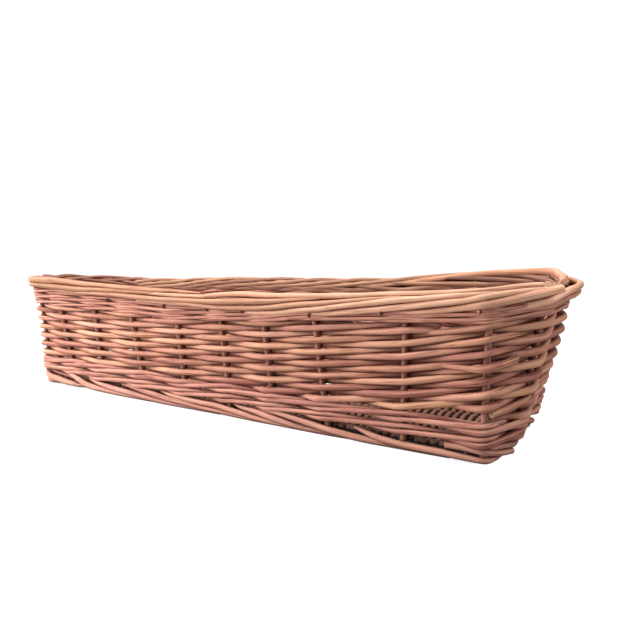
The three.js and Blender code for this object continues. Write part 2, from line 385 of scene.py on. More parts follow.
def willowGrainGroup():
    tree = bpy.data.node_groups.new("willowGrain", "ShaderNodeTree")
    colors = dict.fromkeys(("Pale", "Deep", "Golden"), ("Color",))
    amounts = dict.fromkeys(("Tone Spread", "Streaks", "Blotches", "Specks", "Base Roughness"), ("Float",))
    addSockets(tree, "INPUT", {**colors, **amounts})
    addSockets(tree, "OUTPUT", {"Color": ("Color",), "Roughness": ("Float",), "Height": ("Float",)})

    def attribute(label, output="Fac"):
        return addNode(tree, "ShaderNodeAttribute", attribute_name=label).outputs[output]

    def stretched(scale):
        return vectors(tree, "MULTIPLY", space, scale)["Vector"]

    def noise(scale, detail):
        inputs = {"Vector": stretched(scale), "Scale": 1.0, "Detail": detail}
        return addNode(tree, "ShaderNodeTexNoise", inputs).outputs[0]

    def scaled(value, amount):
        return maths(tree, "MULTIPLY", value, amount)

    def spread(value, amount):
        return scaled(maths(tree, "SUBTRACT", value, 0.5), amount)

    start = addNode(tree, "NodeGroupInput").outputs
    space = attribute("rodSpace", "Vector")
    tone, hue, cutEnd = (attribute(label) for label in ("rodTone", "rodHue", "rodCut"))
    streak, fibre = noise(*grainLook["streak"]), noise(*grainLook["fibre"])
    blotch, scratch = noise(*grainLook["blotch"]), noise(*grainLook["scratch"])

    # dark bud scars, and thin dark scratches along the rod
    inputs = {"Vector": stretched(grainLook["scar"]), "Scale": 1.0}
    scar = addNode(tree, "ShaderNodeTexVoronoi", inputs).outputs["Distance"]
    scarMask = maths(tree, "SUBTRACT", 1.0, scaled(scar, grainLook["scarFall"]), clamp=True)
    scratchMask = maths(tree, "SUBTRACT", scratch, grainLook["scratchFrom"])
    scratchMask = maths(tree, "MULTIPLY", scratchMask, grainLook["scratchGain"], clamp=True)
    marks = [scaled(scarMask, grainLook["scarShare"]), scaled(scratchMask, grainLook["scratchShare"])]
    specks = maths(tree, "MULTIPLY", maths(tree, "ADD", *marks), start["Specks"], clamp=True)

    factor = maths(tree, "ADD", 0.5, spread(tone, start["Tone Spread"]))
    factor = maths(tree, "ADD", factor, spread(streak, start["Streaks"]))
    factor = maths(tree, "ADD", factor, spread(blotch, start["Blotches"]), clamp=True)
    wood = mixed(tree, "MIX", factor, start["Deep"], start["Pale"])
    golden = mixed(tree, "MIX", factor, start["Deep"], start["Golden"])
    wood = mixed(tree, "MIX", scaled(hue, grainLook["goldenShare"]), wood, golden)
    wood = mixed(tree, "MULTIPLY", specks, wood, grainLook["speckColor"])
    cutWood = mixed(tree, "MIX", hue, grainLook["cutBrown"], grainLook["cutPale"])
    wood = mixed(tree, "MIX", scaled(cutEnd, grainLook["cutShare"]), wood, cutWood)
    streakRough = spread(streak, grainLook["roughSpread"])
    rough = maths(tree, "ADD", start["Base Roughness"], streakRough, clamp=True)
    heights = [scaled(streak, grainLook["streakHeight"]), scaled(fibre, grainLook["fibreHeight"])]
    height = maths(tree, "ADD", *heights)
    addNode(tree, "NodeGroupOutput", {"Color": wood, "Roughness": rough, "Height": height})
    return tree


grain = willowGrainGroup()

willow = {
    "stake": {
        "Pale": (0.64, 0.285, 0.205, 1), "Deep": (0.36, 0.145, 0.1, 1), "Golden": (0.58, 0.29, 0.17, 1),
        "Tone Spread": 0.5, "Streaks": 0.7, "Blotches": 0.6, "Specks": 0.7, "Base Roughness": 0.62,
        "bump": 0.00022, "sheen": 0.3,
    },
    "weaver": {
        "Pale": (0.78, 0.375, 0.265, 1), "Deep": (0.43, 0.16, 0.115, 1), "Golden": (0.72, 0.375, 0.21, 1),
        "Tone Spread": 0.9, "Streaks": 1.8, "Blotches": 1.3, "Specks": 0.9, "Base Roughness": 0.58,
        "bump": 0.0002, "sheen": 0.2,
    },
    "wale": {
        "Pale": (0.76, 0.35, 0.265, 1), "Deep": (0.42, 0.155, 0.12, 1), "Golden": (0.66, 0.35, 0.21, 1),
        "Tone Spread": 0.9, "Streaks": 1.8, "Blotches": 1.3, "Specks": 0.9, "Base Roughness": 0.6,
        "bump": 0.00022, "sheen": 0.2,
    },
    "border": {
        "Pale": (0.86, 0.5, 0.335, 1), "Deep": (0.53, 0.245, 0.15, 1), "Golden": (0.23, 0.085, 0.022, 1),
        "Tone Spread": 0.9, "Streaks": 1.4, "Blotches": 1.1, "Specks": 0.8, "Base Roughness": 0.52,
        "bump": 0.0002, "sheen": 0.18,
        # painted shade: the border's crevice shade is shorter and lighter, and it has no painted shade
        # towards the right end
        "creviceReach": 0.005, "creviceColor": (0.5, 0.32, 0.27, 1), "farShade": 1.0,
    },
    # painted shade: a darker copy of the border finish for the rear rim and inner strands, which lie in shade
    "shadedRearBorder": {
        "Pale": (0.42, 0.212, 0.15, 1), "Deep": (0.24, 0.1, 0.068, 1), "Golden": (0.42, 0.217, 0.11, 1),
        "Tone Spread": 1.0, "Streaks": 1.5, "Blotches": 1.15, "Specks": 0.8, "Base Roughness": 0.55,
        "bump": 0.0002, "sheen": 0.2,
    },
    "foot": {
        "Pale": (0.72, 0.35, 0.275, 1), "Deep": (0.42, 0.165, 0.125, 1), "Golden": (0.62, 0.3, 0.16, 1),
        "Tone Spread": 1.0, "Streaks": 1.5, "Blotches": 1.15, "Specks": 0.8, "Base Roughness": 0.55,
        "bump": 0.0002, "sheen": 0.2,
    },
    # painted shade: the floor finish is darker than the walls for the shade inside the basket
    "floor": {
        "Pale": (0.29, 0.148, 0.1, 1), "Deep": (0.15, 0.065, 0.044, 1), "Golden": (0.27, 0.15, 0.083, 1),
        "Tone Spread": 0.7, "Streaks": 0.7, "Blotches": 0.7, "Specks": 0.7, "Base Roughness": 0.66,
        "bump": 0.00022, "sheen": 0.3,
    },
}

# what the finishes share, where they don't say otherwise, with the painted shade in the crevices and towards
# the right end
willowShared = {
    "bumpStrength": 0.6, "creviceSamples": 4, "creviceReach": 0.009, "creviceColor": (0.2, 0.105, 0.1, 1),
    "creviceSpan": (0.15, 0.74), "farSpan": (-0.12, 0.26), "farShade": 0.83,
}


def willowMaterial(name, look):
    material = bpy.data.materials.new(name + "Willow")
    material.use_nodes = True
    tree = material.node_tree
    wood = addNode(tree, "ShaderNodeGroup", node_tree=grain)
    setInputs(tree, wood, {label: value for label, value in look.items() if label in wood.inputs})
    inputs = {"Strength": look["bumpStrength"], "Distance": look["bump"], "Height": wood.outputs["Height"]}
    bump = addNode(tree, "ShaderNodeBump", inputs)
    # painted shade: an Ambient Occlusion node darkens the colour in the crevices between the rods
    inputs = {"Distance": look["creviceReach"]}
    paintedShadeAO = addNode(tree, "ShaderNodeAmbientOcclusion", inputs, samples=look["creviceSamples"])
    exposed = ranged(tree, paintedShadeAO.outputs["AO"], look["creviceSpan"])
    shade = mixed(tree, "MIX", exposed, look["creviceColor"], (1, 1, 1, 1))
    shaded = mixed(tree, "MULTIPLY", 1.0, wood.outputs["Color"], shade)
    # painted shade: the colour is darker towards the right end, which gets less light
    spot = addNode(tree, "ShaderNodeTexCoord").outputs["Object"]
    sides = addNode(tree, "ShaderNodeSeparateXYZ", {0: spot}).outputs
    far = ranged(tree, sides["X"], look["farSpan"], (1.0, look["farShade"]))
    inputs = {
        "Base Color": mixed(tree, "MULTIPLY", 1.0, shaded, far),
        "Roughness": wood.outputs["Roughness"],
        "Normal": bump.outputs["Normal"],
        "Specular IOR Level": look["sheen"],
    }
    setInputs(tree, tree.nodes["Principled BSDF"], inputs)
    return material


finishes = {name: willowMaterial(name, {**willowShared, **look}) for name, look in willow.items()}
print("willow finishes made")


def drawn(chance, span):
    return span[0] + span[1] * chance.random()


# side stakes
stakes = {
    "seed": 11, "butt": 3.0, "tip": 2.8, "foot": 5.0, "tuck": 8.0, "keys": 7, "hueTo": 0.3,
    "Sides": 12, "Wobble": 0.0012, "Lump": 0.1,
}
chance = np.random.default_rng(stakes["seed"])
for i in range(stakeCount):
    top = borderLow(i) + stakes["tuck"]
    keys = [stakeAt(i, z) for z in np.linspace(stakes["foot"], top, stakes["keys"])]
    tone, hue = chance.random(), stakes["hueTo"] * chance.random()
    guide = rodGuide(keys, stakes["butt"], stakes["tip"], tone, hue=hue)
    name = f"stake_{i + 1:02d}"
    makeRods(name, [guide], stakes, finishes["stake"], "stake", "side_" + name)
print("stakes made")

# randing: each rod starts at its own stake and climbs to the right
randing = {
    "seed": 5, "butt": 3.05, "tip": 2.6, "thickness": (0.96, 0.1), "rearThick": 1.18, "rearFrom": 11,
    "stakeRadius": 2.9, "seat": 0.73, "span": 4.5, "cornerSpan": 2.2, "tuck": 0.42, "tuckOut": -4.5,
    "start": ((-0.97, -6.0, 0.6, 2.5), (-0.45, -3.8, 0.85, 1.4)), "startClimb": 1.5, "step": 3.0,
    "Sides": 10, "Wobble": 0.0012, "Wobble Scale": 16.0, "Lump": 0.16,
}
# spare butts that stand out near the right front corner: place along the wall, out from it, height
spareButts = [
    {
        "rod": 23, "radii": (1.6, 2.4, 2.7, 2.6, 2.1), "tone": 0.25, "hue": 0.95,
        "run": (
            (9.35, 1.0, 73.5), (9.7, 5.0, 73.6), (9.98, 8.6, 74.6), (10.14, 9.4, 76.8), (10.5, 8.2, 82.0),
        ),
        "splinters": ((-1.6, -1.4), (1.4, -2.4), (0.4, 2.6), (2.4, 0.8), (-2.0, 1.6), (0.6, -0.6)),
    },
    {
        "rod": 3, "radii": (2.9, 3.1, 3.1, 3.0, 2.6), "tone": 0.45, "hue": 0.9, "splinters": (),
        "run": (
            (10.1, 7.2, 39.8), (10.35, 6.6, 41.2), (10.7, 5.2, 43.8), (11.0, 3.4, 46.4), (11.4, -3.0, 49.0),
        ),
    },
    {
        "rod": 6, "radii": (2.4, 2.7, 2.7, 2.6, 2.2), "tone": 0.6, "hue": 0.9, "splinters": (),
        "run": (
            (10.06, 7.8, 54.8), (10.25, 7.2, 55.8), (10.5, 5.6, 57.6), (10.8, 3.0, 59.6), (11.2, -3.0, 62.0),
        ),
    },
]
splinter = {"shares": (0, 0.5, 1.3), "radii": (0.9, 0.8, 0.35), "tone": 0.9, "hue": 0.9, "step": 2.0}


def rodHeight(index, rod):
    return rowHeight(index) - rod * wall["rodPitch"]


def rodSlope(index, rod):
    rise = rodHeight(index + 1, rod) - rodHeight(index - 1, rod)
    here = [stakeAt(index + k, wall["bodyHeight"] / 2) for k in (-1, 0, 1)]
    return rise / (np.linalg.norm(here[1] - here[0]) + np.linalg.norm(here[2] - here[1]))


def buttGuides(butt):
    keys = [wallPoint(p, z, out) for p, out, z in butt["run"]]
    guides = [runGuide(keys, butt["radii"], butt["tone"], randing["step"], hue=butt["hue"])]
    for n, (more, up) in enumerate(butt["splinters"]):
        ends = zip(splinter["shares"], butt["run"][2:])
        keys = [wallPoint(p, z + share * up, out + share * more) for share, (p, out, z) in ends]
        tone = splinter["tone"] * (n % 2)
        guides.append(runGuide(keys, splinter["radii"], tone, splinter["step"], hue=splinter["hue"]))
    return guides


chance = np.random.default_rng(randing["seed"])
for r in range(rodCount):
    stations = [i for i in range(-stakeCount, 3 * stakeCount) if highestRod(i) <= r <= lowestRod(i)]
    total = len(stations)
    keys, radii = [], []
    for n, i in enumerate(stations):
        side = -1 if (i + r) % 2 == 0 else 1
        thick = randing["butt"] + (randing["tip"] - randing["butt"]) * n / total
        radius = thick * (randing["rearThick"] if i % stakeCount >= randing["rearFrom"] else 1.0)
        offset = side * (randing["stakeRadius"] + thick) * randing["seat"]
        reach = randing["cornerSpan"] if i % stakeCount == wall["cornerStake"] else randing["span"]
        climb = rodSlope(i, r) * randing["span"]
        z = rodHeight(i, r)
        if n == 0:
            for back, inside, share, drop in randing["start"]:
                keys.append(wallPoint(i + back, z - climb * randing["startClimb"] - drop, inside))
                radii.append(radius * share)
        keys.append(wallPoint(i, z - climb, offset, -reach))
        keys.append(wallPoint(i, z + climb, offset, reach))
        radii += [radius] * 2
        if n == total - 1:
            keys.append(wallPoint(i + randing["tuck"], z + climb, randing["tuckOut"]))
            radii.append(radius)
    scale = drawn(chance, randing["thickness"])
    radii = [scale * radius for radius in radii]
    guides = [runGuide(keys, radii, chance.random(), randing["step"], hue=chance.random())]
    for butt in spareButts:
        if butt["rod"] == r:
            guides += buttGuides(butt)
    name = f"rod_{r + 1:02d}"
    makeRods(name, guides, randing, finishes["weaver"], "weaver", "rand_" + name)
print("randing made")

# wales: rounds of three strands, each in front of two stakes and behind one
wales = {
    "seed": 23, "span": 5.0, "cornerSpan": 2.4, "hueTo": 0.4, "thickness": (0.95, 0.12), "step": 3.0,
    "Sides": 10, "Wobble Scale": 15.0, "Lump": 0.16,
}
bottomWale = {
    **wales, "butt": 2.6, "tip": 2.1, "out": 5.0, "lean": 0.5, "toneTo": 1.0, "Wobble": 0.0014,
    "parts": ((0, 9), (9, 9), (18, 6)), "rounds": ((0.12, 0.37), (0.63, 0.88)),
    "low": 13.6, "lowLift": {23: 2, 0: 4, 1: 5, 2: 2.5}, "high": (28.5, 33.5), "gap": 2.6,
}
# painted shade: the top wale's tones reach only 0.55, darker for the shade under the border
topWale = {
    **wales, "butt": 1.95, "tip": 1.6, "out": 4.6, "lean": 0.3, "toneTo": 0.55, "Wobble": 0.0012,
    "parts": ((3, 9), (12, 9), (21, 6)), "rounds": ((0.06, 0.24), (0.4, 0.58), (0.74, 0.92)),
    "gap": 2.2, "under": 3.0,
}


def bottomEdges(index):
    low = bottomWale["low"] + bottomWale["lowLift"].get(index % stakeCount, 0)
    high = rodHeight(index, lowestRod(index)) - bottomWale["gap"]
    return low, min(max(high, bottomWale["high"][0]), bottomWale["high"][1])


def topEdges(index):
    return rodHeight(index, highestRod(index)) + topWale["gap"], borderLow(index) + topWale["under"]


def strandKeys(settings, edges, shares, strand, first, last):
    keys = []
    for i in range(first, last + 1):
        phase = (i - strand) % 3
        low, high = edges(i)
        z = low + (sum(shares) / 2, *shares)[phase] * (high - low)
        if phase == 0:
            keys.append(wallPoint(i, z, -settings["out"]))
        else:
            reach = settings["cornerSpan"] if i % stakeCount == wall["cornerStake"] else settings["span"]
            keys.append(wallPoint(i, z - settings["lean"], settings["out"], -reach))
            keys.append(wallPoint(i, z + settings["lean"], settings["out"], reach))
    return keys


def makeWale(node, settings, edges, finish):
    guides = []
    for shares in settings["rounds"]:
        for strand in range(3):
            for start, length in settings["parts"]:
                first = strand + start
                keys = strandKeys(settings, edges, shares, strand, first, first + length)
                tone, hue = settings["toneTo"] * chance.random(), settings["hueTo"] * chance.random()
                thick = drawn(chance, settings["thickness"])
                butt, tip = settings["butt"] * thick, settings["tip"] * thick
                guides.append(rodGuide(keys, butt, tip, tone, settings["step"], hue=hue))
    makeRods(node + "_rods", guides, settings, finish, "wale", node)


chance = np.random.default_rng(wales["seed"])
makeWale("bottom_wale", bottomWale, bottomEdges, finishes["wale"])
makeWale("top_wale", topWale, topEdges, finishes["weaver"])
print("wales made")

# rolled border: the stakes' upper parts laid along the rim, and the runs seen on the near side
border = {
    "seed": 31, "radii": (3.0, 2.3), "innerRadii": (2.5, 2.2),
    "rising": [
        (0.0, 0.0, -5), (0.2, -1.5, 2.5), (0.9, -3.8, 3.5), (1.5, 0.5, 2.6), (2.0, 5.2, 3.0),
        (3.0, 9.0, 8.2), (4.0, 6.4, 13.2), (4.6, 1.0, 14.6), (5.2, -3.4, 12.0), (6.0, -4.6, 8.6),
        (6.9, -4.4, 5.2), (7.6, -3.0, 2.4),
    ],
    "ending": [
        (0.0, 0.0, -5), (0.2, -1.5, 2.5), (0.7, -1.8, 4.5), (1.1, 3.5, 5.6), (1.6, 6.6, 7.4),
        (2.2, 5.6, 10.4), (2.8, 2.0, 12.6),
    ],
    "inner": [
        (0.0, 0.0, -5), (0.3, -2.0, 1.5), (0.9, -4.2, 4.5), (1.6, -4.0, 8.5), (2.3, -1.2, 11.2),
        (3.0, 1.6, 12.0),
    ],
    "risingStakes": range(10, 22), "endingStakes": (22, 23), "leftStakes": (*range(17, 24), *range(4)),
    "rearTone": 1.0, "leftTone": 0.15, "endingTone": 0.5, "laidHue": (0.6, 0.4), "runTone": (0.3, 0.6),
    "goldenTo": 7.5, "brownFrom": 10.6, "brownHue": 0.7, "brownTone": 0.3,
    "brownPast": ((11.3, 11.8), (0.0, 0.75)), "buttTone": 0.5, "buttHue": 0.75, "buttStep": 1.0,
    "Sides": 10, "Wobble": 0.0009, "Wobble Scale": 12.0, "Lump": 0.13,
}
# place along the wall, out from it, up from the border's low edge, radius
nearRuns = [
    [
        (0.55, 7.0, 13.0, 3.3), (1.02, 9.2, 13.0, 3.6), (1.74, 6.9, 12.3, 3.8), (2.29, 6.5, 13.1, 3.5),
        (2.83, 6.4, 13.3, 3.1), (3.41, 6.7, 12.8, 3.0), (3.96, 5.6, 14.1, 2.95), (4.6, 5.1, 14.5, 2.6),
        (5.21, 4.0, 15.6, 2.0), (5.66, 3.5, 15.6, 1.0),
    ],
    [
        (0.5, 7.0, 7.2, 2.8), (1.02, 9.6, 7.5, 3.0), (1.71, 7.7, 5.8, 3.25), (2.27, 7.7, 5.8, 3.4),
        (2.84, 7.9, 7.1, 3.1), (3.42, 8.1, 8.5, 2.5), (3.98, 7.6, 10.5, 2.1), (4.42, 7.5, 10.7, 1.8),
        (4.82, 7.1, 11.9, 1.3), (5.09, 7.0, 12.0, 0.8),
    ],
    [(4.62, 7.3, 11.2, 1.6), (5.14, 7.2, 11.5, 2.0), (5.7, 6.7, 12.6, 1.9), (6.08, 5.6, 13.0, 1.0)],
    [
        (2.0, 5.6, 1.0, 1.5), (2.28, 6.2, 1.8, 1.8), (2.8, 6.8, 2.9, 2.3), (3.23, 7.0, 3.3, 2.7),
        (3.96, 7.7, 5.9, 2.95), (4.82, 7.9, 7.0, 2.6), (5.26, 7.9, 7.4, 2.5), (5.71, 8.1, 8.3, 2.45),
        (6.17, 8.1, 8.7, 3.0), (6.63, 7.9, 9.9, 3.2), (7.11, 7.7, 10.2, 2.7), (7.48, 7.7, 10.3, 2.2),
        (7.87, 7.7, 10.2, 1.5), (8.15, 7.1, 11.9, 0.9),
    ],
    [
        (4.3, 6.2, 2.0, 1.5), (4.6, 7.0, 3.6, 1.8), (5.01, 7.4, 4.0, 2.3), (5.46, 7.2, 3.7, 2.45),
        (5.9, 7.0, 3.4, 2.45), (6.12, 6.7, 2.9, 2.6), (6.6, 6.9, 3.1, 2.6), (7.1, 7.5, 4.9, 2.5),
        (7.46, 7.6, 5.5, 2.7), (7.86, 7.7, 6.2, 2.4), (8.15, 8.1, 8.5, 2.1), (8.59, 8.1, 9.3, 1.6),
        (8.98, 7.1, 11.6, 0.8),
    ],
    [
        (5.81, 6.5, 13.2, 1.7), (6.12, 4.3, 15.3, 2.5), (6.57, 3.1, 16.4, 2.8), (7.07, 3.7, 15.9, 2.85),
        (7.45, 5.0, 14.6, 2.55), (7.85, 5.7, 14.0, 2.6), (8.37, 6.6, 13.0, 2.4), (8.97, 5.4, 14.3, 2.1),
        (9.47, 6.0, 13.7, 2.1), (9.94, 5.0, 14.6, 2.1), (10.22, 3.7, 15.8, 2.25), (10.52, 3.7, 15.9, 2.5),
        (10.83, 4.4, 15.1, 2.65),
    ],
    [
        (6.6, 3.6, -1.2, 1.9), (6.78, 4.9, -0.8, 2.1), (7.05, 5.1, -0.3, 2.3), (7.41, 5.1, -0.2, 2.7),
        (7.81, 5.5, 0.6, 2.85), (8.13, 7.1, 3.5, 2.8), (8.36, 7.5, 4.7, 2.5), (8.79, 8.0, 7.5, 2.6),
        (8.99, 8.1, 9.4, 2.75), (9.23, 7.6, 10.6, 2.4), (9.48, 7.7, 10.3, 1.95), (9.94, 6.6, 13.0, 1.5),
        (10.22, 5.3, 14.3, 0.9),
    ],
    [
        (7.75, 3.2, -2.8, 1.6), (7.94, 4.4, -2.4, 1.75), (8.11, 4.6, -1.6, 2.1), (8.34, 5.0, -0.7, 2.6),
        (8.77, 5.9, 1.3, 2.75), (8.98, 7.0, 3.3, 2.75), (9.23, 7.6, 5.2, 2.8), (9.72, 7.9, 7.5, 2.65),
        (9.94, 7.7, 10.3, 2.55), (10.21, 6.9, 12.2, 2.4), (10.49, 6.8, 12.4, 2.1), (10.86, 6.8, 12.4, 1.9),
    ],
    [
        (8.6, 2.6, -4.2, 1.3), (8.76, 3.9, -3.7, 1.45), (8.97, 4.6, -1.7, 1.8), (9.22, 5.2, -0.1, 2.15),
        (9.48, 5.5, 0.6, 2.5), (9.72, 6.1, 1.7, 2.75), (9.95, 7.5, 4.5, 3.05), (10.21, 7.8, 6.6, 3.4),
        (10.49, 8.0, 7.8, 3.55), (10.78, 8.0, 9.5, 3.6), (11.31, 7.5, 10.8, 3.7),
    ],
    [
        (9.55, 2.8, -4.0, 1.1), (9.74, 4.1, -3.2, 1.35), (9.95, 4.7, -1.5, 1.85), (10.24, 5.0, -0.5, 2.6),
        (10.53, 5.5, 0.5, 2.9), (10.83, 6.1, 1.8, 3.15), (10.99, 7.4, 4.0, 3.15), (11.2, 8.3, 6.0, 3.1),
        (11.5, 10.2, 8.0, 3.05), (11.8, 13.6, 9.0, 3.0), (12.1, 14.6, 10.6, 2.9), (12.5, 9.5, 12.4, 2.7),
        (12.9, 6.8, 9.6, 2.4), (13.4, 4.6, 4.5, 2.1), (13.8, 1.0, -1.0, 1.9),
    ],
    [
        (10.65, 3.5, -5.3, 1.5), (10.89, 4.0, -3.6, 1.7), (11.15, 5.6, -0.2, 1.95), (11.5, 8.4, 1.5, 2.2),
        (11.8, 13.0, 3.0, 2.4), (12.1, 14.4, 5.4, 2.5), (12.6, 9.5, 8.0, 2.5), (13.6, 7.5, 8.0, 2.3),
        (14.4, 5.0, 12.0, 2.2), (15.1, 1.0, 14.0, 2.0),
    ],
    [
        (15.4, -3.5, 8.0, 2.6), (14.8, -1.0, 11.4, 2.9), (14.0, 0.6, 13.8, 3.2), (13.4, 1.4, 15.2, 3.5),
        (12.9, 2.0, 15.8, 3.6), (12.45, 1.6, 15.4, 3.6), (12.1, 1.2, 14.6, 3.5), (11.8, -1.5, 12.0, 3.3),
    ],
]
nearButts = [
    [(11.35, -3.6, 7.0, 4.4), (11.25, -2.6, 10.6, 4.5), (11.1, -0.6, 13.2, 4.5), (11.07, -0.2, 13.9, 3.6)],
    [(11.9, -3.0, 8.0, 3.0), (11.8, 0.5, 12.0, 3.1), (11.68, 3.4, 13.4, 3.1), (11.65, 4.0, 13.7, 2.5)],
]
# short cut ends that stick out under the border: place and lift of each, and the shape they share
cutEnds = {
    "spots": ((3.54, -1.9), (4.84, -0.1), (5.8, 0.6), (6.62, 0.7), (7.97, -2.9), (8.77, -1.4), (9.88, -1.1)),
    "shape": ((-0.08, -1.0, 1.8), (-0.02, 3.5, 0.8), (0.03, 7.2, -0.2)),
    "radius": 2.15, "tone": 0.0, "hue": 0.0,
}


def eased(rows):
    middle = [
        (b[0], (a[1] + 2 * b[1] + c[1]) / 4, (a[2] + 2 * b[2] + c[2]) / 4, b[3])
        for a, b, c in zip(rows, rows[1:], rows[2:])
    ]
    return [rows[0], *middle, rows[-1]]


def borderKeys(rows, place=0.0, lift=0.0):
    return [wallPoint(place + p, borderLow(place + p) + up + lift, out) for p, out, up, *radius in rows]


def laidRods(places, shape, radii, tones):
    guides = []
    for i in places:
        tone, hue = tones[i] * chance.random(), drawn(chance, border["laidHue"])
        guides.append(rodGuide(borderKeys(shape, i), *radii, tone, hue=hue))
    return guides


chance = np.random.default_rng(border["seed"])
# painted shade: the rear strands at the left end take a low tone, darker for the shade there
rearTones = [
    border["leftTone"] if i in border["leftStakes"] else border["rearTone"] for i in range(stakeCount)
]
endingTones = [border["endingTone"]] * stakeCount
rearGuides = laidRods(border["risingStakes"], border["rising"], border["radii"], rearTones)
guides = laidRods(border["endingStakes"], border["ending"], border["radii"], endingTones)
rearGuides += laidRods(range(stakeCount), border["inner"], border["innerRadii"], rearTones)
for run in nearRuns:
    run = eased(run)
    golden = max(0, 1 - run[0][0] / border["goldenTo"])
    tone = drawn(chance, border["runTone"])
    if run[0][0] > border["brownFrom"]:
        golden, tone = border["brownHue"], border["brownTone"] * tone
    hues = [max(golden, np.interp(row[0], *border["brownPast"])) for row in run]
    guides.append(runGuide(borderKeys(run), [row[3] for row in run], tone, hue=hues))
for run in nearButts:
    keys, radii = borderKeys(run), [row[3] for row in run]
    guides.append(runGuide(keys, radii, border["buttTone"], border["buttStep"], hue=border["buttHue"]))
for place, lift in cutEnds["spots"]:
    keys = borderKeys(cutEnds["shape"], place, lift)
    guides.append(rodGuide(keys, cutEnds["radius"], cutEnds["radius"], cutEnds["tone"], hue=cutEnds["hue"]))
makeRods("border_rods", guides, border, finishes["border"], "border", "rolled_border")
# painted shade: the rear rods take the darker copy of the border finish
makeRods("border_rear_rods", rearGuides, border, finishes["shadedRearBorder"], "border", "rolled_border")
print("border made")

# foot: rods turned down beside the stakes and laid along under the wale
foot = {
    "seed": 47, "butt": 2.9, "tip": 2.6, "hueTo": 0.3, "runTone": (0.2, 0.7), "runHueTo": 0.5,
    "shape": [
        (-0.3, -3.0, 11.5), (0.05, 1.5, 12.0), (0.5, 4.8, 9.2), (1.0, 5.2, 5.4), (1.5, 4.4, 3.2),
        (2.0, 2.0, 2.9), (2.5, -2.6, 3.1),
    ],
    "shapedStakes": range(11, 24),
    "Sides": 10, "Wobble": 0.0006, "Wobble Scale": 12.0, "Lump": 0.13,
}
